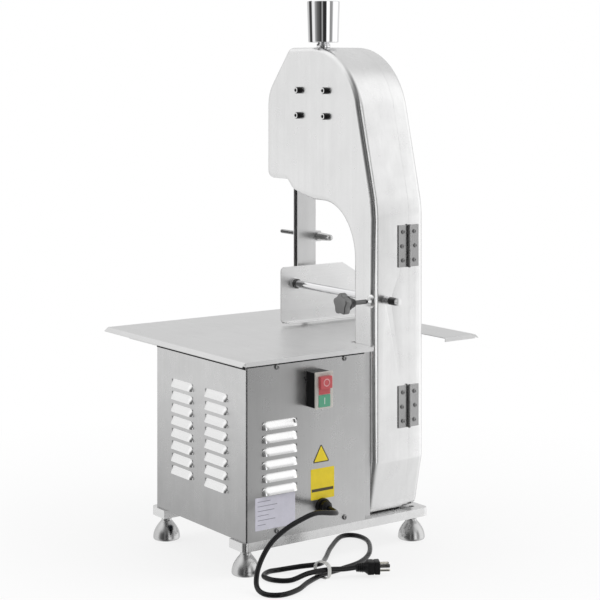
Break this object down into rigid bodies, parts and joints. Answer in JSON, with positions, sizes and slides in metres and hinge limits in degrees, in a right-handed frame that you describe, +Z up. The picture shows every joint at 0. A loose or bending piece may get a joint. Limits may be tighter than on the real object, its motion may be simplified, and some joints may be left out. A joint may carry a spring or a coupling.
{
  "type": "bone saw",
  "caption": "bench-top butcher's band saw with a cast column, stainless table and motor box, tension knob, sliding fence, blade guard and rear cord",
  "frame": {"origin": "on the bench, at the centre of the four levelling feet", "axes": "+Z up; +X from the hinge and switch side to the throat side; +Y from the operator and door side to the back of the motor box"},
  "size_m": [0.6061, 0.5487, 0.9735],
  "materials": {
    "base_frame": "satin cast",
    "leveling_feet": "polished",
    "foot_studs": "machined",
    "frame_bolts": "machined",
    "rear_panel": "brushed",
    "side_panel": "brushed",
    "throat_panel": "brushed",
    "box_rails": "brushed",
    "panel_screws": "machined",
    "frame_casting": "satin cast",
    "table_plate": "brushed",
    "table_ribs": "brushed",
    "blade_insert": "moulded",
    "motor_housing": "semi-gloss paint",
    "motor_end_bells": "satin cast",
    "fan_cowl": "semi-gloss paint",
    "motor_bolts": "machined",
    "motor_bearings": "machined",
    "capacitor": "drawn can",
    "head_bolts": "machined",
    "tension_guide": "machined",
    "tension_bush": "machined",
    "saw_blade": "machined",
    "frame_hinge_leaves": "machined",
    "hinge_pins": "machined",
    "frame_hinge_screws": "machined",
    "lower_guide": "moulded",
    "guide_bracket": "satin cast",
    "guide_rod": "polished",
    "switch_housing": "moulded",
    "switch_bezel": "clear moulded cover",
    "cable_gland": "moulded",
    "power_cord": "moulded",
    "plug_body": "moulded",
    "plug_prongs": "nickel plated",
    "tension_block": "machined",
    "upper_axle": "machined",
    "tension_knob": "polished",
    "tension_screw": "machined",
    "upper_wheel": "satin cast",
    "upper_bearings": "machined",
    "motor_rotor": "machined",
    "motor_fan": "moulded",
    "lower_wheel": "satin cast",
    "wheel_key": "machined",
    "wheel_bolt": "machined",
    "blade_guard": "brushed",
    "guide_blocks": "moulded",
    "guard_lock_screw": "machined",
    "guard_lock_grip": "machined",
    "fence_plate": "brushed",
    "fence_rod": "polished",
    "fence_lock_knob": "moulded",
    "fence_lock_stud": "machined",
    "door_shell": "satin cast",
    "door_hinge_leaves": "machined",
    "door_hinge_screws": "machined",
    "door_latch": "machined",
    "stop_button": "moulded",
    "start_button": "moulded"
  },
  "bodies": {
    "frame": {"base_frame": "base_frame", "leveling_feet": "leveling_feet", "foot_studs": "foot_studs", "frame_bolts": "frame_bolts", "rear_panel": "rear_panel", "side_panel": "side_panel", "throat_panel": "throat_panel", "box_rails": "box_rails", "panel_screws": "panel_screws", "frame_casting": "frame_casting", "table_plate": "table_plate", "table_ribs": "table_ribs", "blade_insert": "blade_insert", "motor_housing": "motor_housing", "motor_end_bells": "motor_end_bells", "fan_cowl": "fan_cowl", "motor_bolts": "motor_bolts", "motor_bearings": "motor_bearings", "capacitor": "capacitor", "head_bolts": "head_bolts", "tension_guide": "tension_guide", "tension_bush": "tension_bush", "saw_blade": "saw_blade", "frame_hinge_leaves": "frame_hinge_leaves", "hinge_pins": "hinge_pins", "frame_hinge_screws": "frame_hinge_screws", "lower_guide": "lower_guide", "guide_bracket": "guide_bracket", "guide_rod": "guide_rod", "switch_housing": "switch_housing", "switch_bezel": "switch_bezel", "cable_gland": "cable_gland", "power_cord": "power_cord", "plug_body": "plug_body", "plug_prongs": "plug_prongs"},
    "tension_carriage": {"tension_block": "tension_block", "upper_axle": "upper_axle"},
    "tension_handle": {"tension_knob": "tension_knob", "tension_screw": "tension_screw"},
    "upper_wheel_spin": {"upper_wheel": "upper_wheel", "upper_bearings": "upper_bearings"},
    "drive": {"motor_rotor": "motor_rotor", "motor_fan": "motor_fan", "lower_wheel": "lower_wheel", "wheel_key": "wheel_key", "wheel_bolt": "wheel_bolt"},
    "guard": {"blade_guard": "blade_guard", "guide_blocks": "guide_blocks"},
    "guard_lock": {"guard_lock_screw": "guard_lock_screw", "guard_lock_grip": "guard_lock_grip"},
    "fence": {"fence_plate": "fence_plate", "fence_rod": "fence_rod"},
    "fence_lock": {"fence_lock_knob": "fence_lock_knob", "fence_lock_stud": "fence_lock_stud"},
    "door": {"door_shell": "door_shell", "door_hinge_leaves": "door_hinge_leaves", "door_hinge_screws": "door_hinge_screws"},
    "latch": {"door_latch": "door_latch"},
    "stop": {"stop_button": "stop_button"},
    "start": {"start_button": "start_button"}
  },
  "joints": [
    {"name": "tension_knob_turn", "type": "hinge", "parent": "frame", "child": "tension_handle", "pos_m": [0.031, -0.1, 0.9], "axis": [0, 0, 1], "range_deg": [0, 720]},
    {"name": "tension_slide", "type": "slide", "parent": "frame", "child": "tension_carriage", "axis": [0, 0, 1], "range_m": [-0.006, 0]},
    {"name": "upper_wheel_turn", "type": "hinge", "parent": "tension_carriage", "child": "upper_wheel_spin", "pos_m": [0.031, -0.149, 0.7495], "axis": [0, 1, 0], "continuous": true},
    {"name": "drive_turn", "type": "hinge", "parent": "frame", "child": "drive", "pos_m": [0.031, -0.149, 0.2075], "axis": [0, 1, 0], "continuous": true},
    {"name": "guard_slide", "type": "slide", "parent": "frame", "child": "guard", "axis": [0, 0, 1], "range_m": [-0.02, 0.05]},
    {"name": "guard_lock_turn", "type": "hinge", "parent": "guard", "child": "guard_lock", "pos_m": [0.1595, -0.177, 0.5225], "axis": [1, 0, 0], "range_deg": [0, 180]},
    {"name": "fence_slide", "type": "slide", "parent": "frame", "child": "fence", "axis": [1, 0, 0], "range_m": [-0.2, 0.015]},
    {"name": "fence_lock_turn", "type": "hinge", "parent": "frame", "child": "fence_lock", "pos_m": [-0.14, -0.04, 0.438], "axis": [0, 1, 0], "range_deg": [0, 180]},
    {"name": "door_hinge", "type": "hinge", "parent": "frame", "child": "door", "pos_m": [-0.154, -0.154, 0.4], "axis": [0, 0, 1], "range_deg": [-110, 0]},
    {"name": "latch_turn", "type": "hinge", "parent": "frame", "child": "latch", "pos_m": [0.185, -0.14, 0.7195], "axis": [1, 0, 0], "range_deg": [0, 70]},
    {"name": "stop_press", "type": "slide", "parent": "frame", "child": "stop", "axis": [1, 0, 0], "range_m": [0, 0.003]},
    {"name": "start_press", "type": "slide", "parent": "frame", "child": "start", "axis": [1, 0, 0], "range_m": [0, 0.003]}
  ],
  "couplings": [
    {"joint": "tension_slide", "follows": "tension_knob_turn", "m_per_rad": -0.00047746},
    {"joint": "upper_wheel_turn", "follows": "drive_turn", "ratio": 1}
  ]
}
